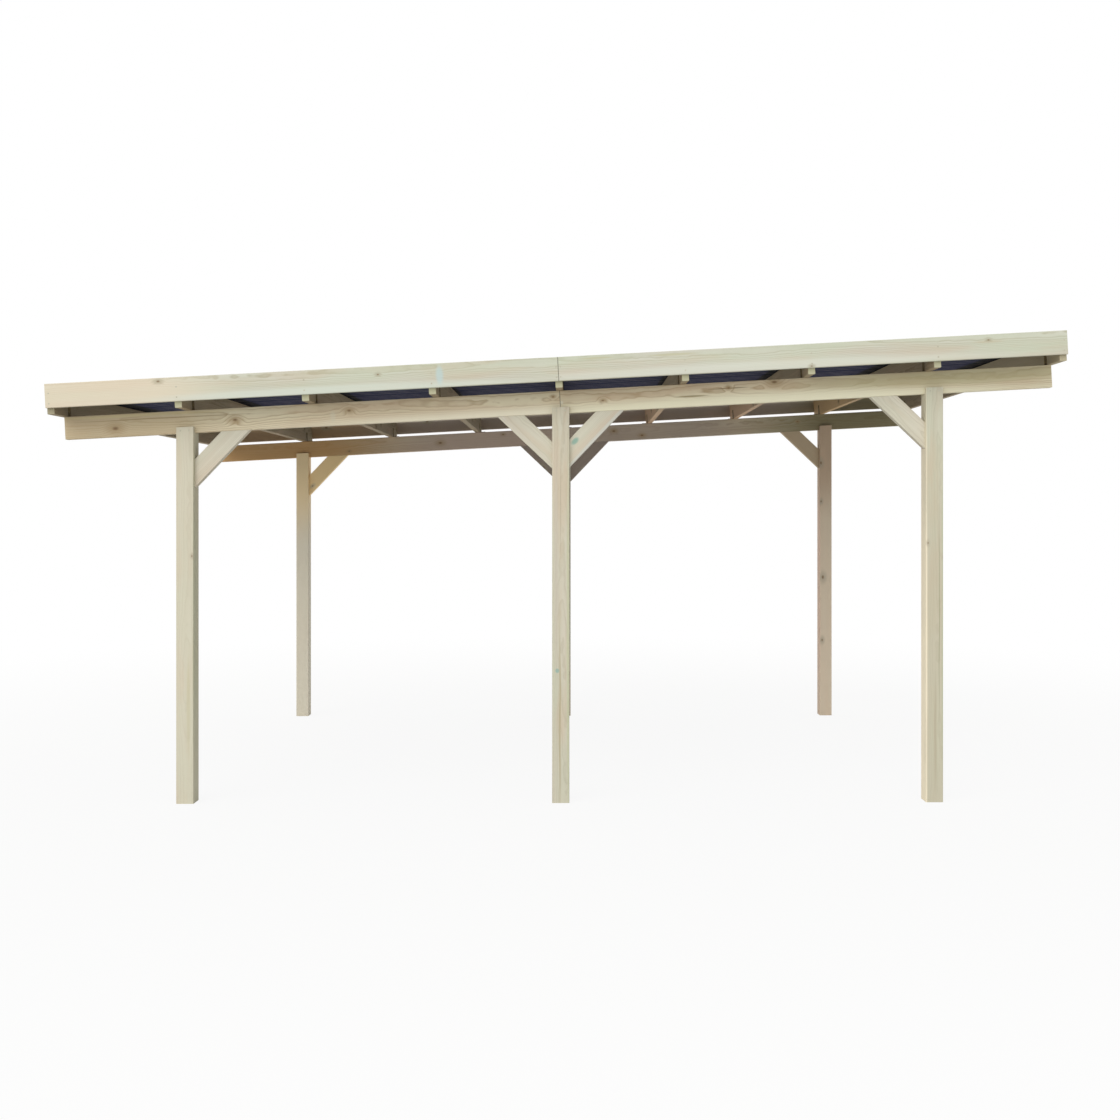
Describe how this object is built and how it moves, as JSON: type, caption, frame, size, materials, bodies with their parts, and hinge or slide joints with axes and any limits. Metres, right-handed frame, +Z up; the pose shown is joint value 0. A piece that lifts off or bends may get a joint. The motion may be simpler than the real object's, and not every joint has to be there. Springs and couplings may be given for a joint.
{
  "type": "carport",
  "caption": "Open timber carport: two rows of square posts with slotted heads, braced beams, rafters, side fascia boards and a sloping roof of ribbed sheets.",
  "frame": {"origin": "on the ground under the middle of the roof's plan", "axes": "+X along the parking length towards the high end, +Y across it towards the rear row, +Z up"},
  "size_m": [5.1005, 3.04, 2.3946],
  "materials": {
    "post_timber": "planed, pressure treated",
    "beam_timber": "planed, pressure treated",
    "brace_timber": "planed, pressure treated",
    "rafter_timber": "planed, pressure treated",
    "fascia_timber": "planed, pressure treated",
    "roof_sheet": "satin",
    "fixing_steel": "galvanised"
  },
  "bodies": {
    "root": {"beam_front_left": "beam_timber", "beam_front_right": "beam_timber", "beam_rear_left": "beam_timber", "beam_rear_right": "beam_timber", "brace_front_left": "brace_timber", "brace_front_middle_left": "brace_timber", "brace_front_middle_right": "brace_timber", "brace_front_right": "brace_timber", "brace_rear_left": "brace_timber", "brace_rear_middle_left": "brace_timber", "brace_rear_middle_right": "brace_timber", "brace_rear_right": "brace_timber", "fascia_front_left": "fascia_timber", "fascia_front_right": "fascia_timber", "fascia_rear_left": "fascia_timber", "fascia_rear_right": "fascia_timber", "post_front_left": "post_timber", "post_front_middle": "post_timber", "post_front_right": "post_timber", "post_rear_left": "post_timber", "post_rear_middle": "post_timber", "post_rear_right": "post_timber", "rafter_1": "rafter_timber", "rafter_2": "rafter_timber", "rafter_3": "rafter_timber", "rafter_4": "rafter_timber", "rafter_5": "rafter_timber", "rafter_6": "rafter_timber", "rafter_7": "rafter_timber", "rafter_8": "rafter_timber", "rafter_9": "rafter_timber", "rafter_anchors_front": "fixing_steel", "rafter_anchors_rear": "fixing_steel", "roof_sheet_front": "roof_sheet", "roof_sheet_middle": "roof_sheet", "roof_sheet_rear": "roof_sheet"}
  },
  "joints": []
}
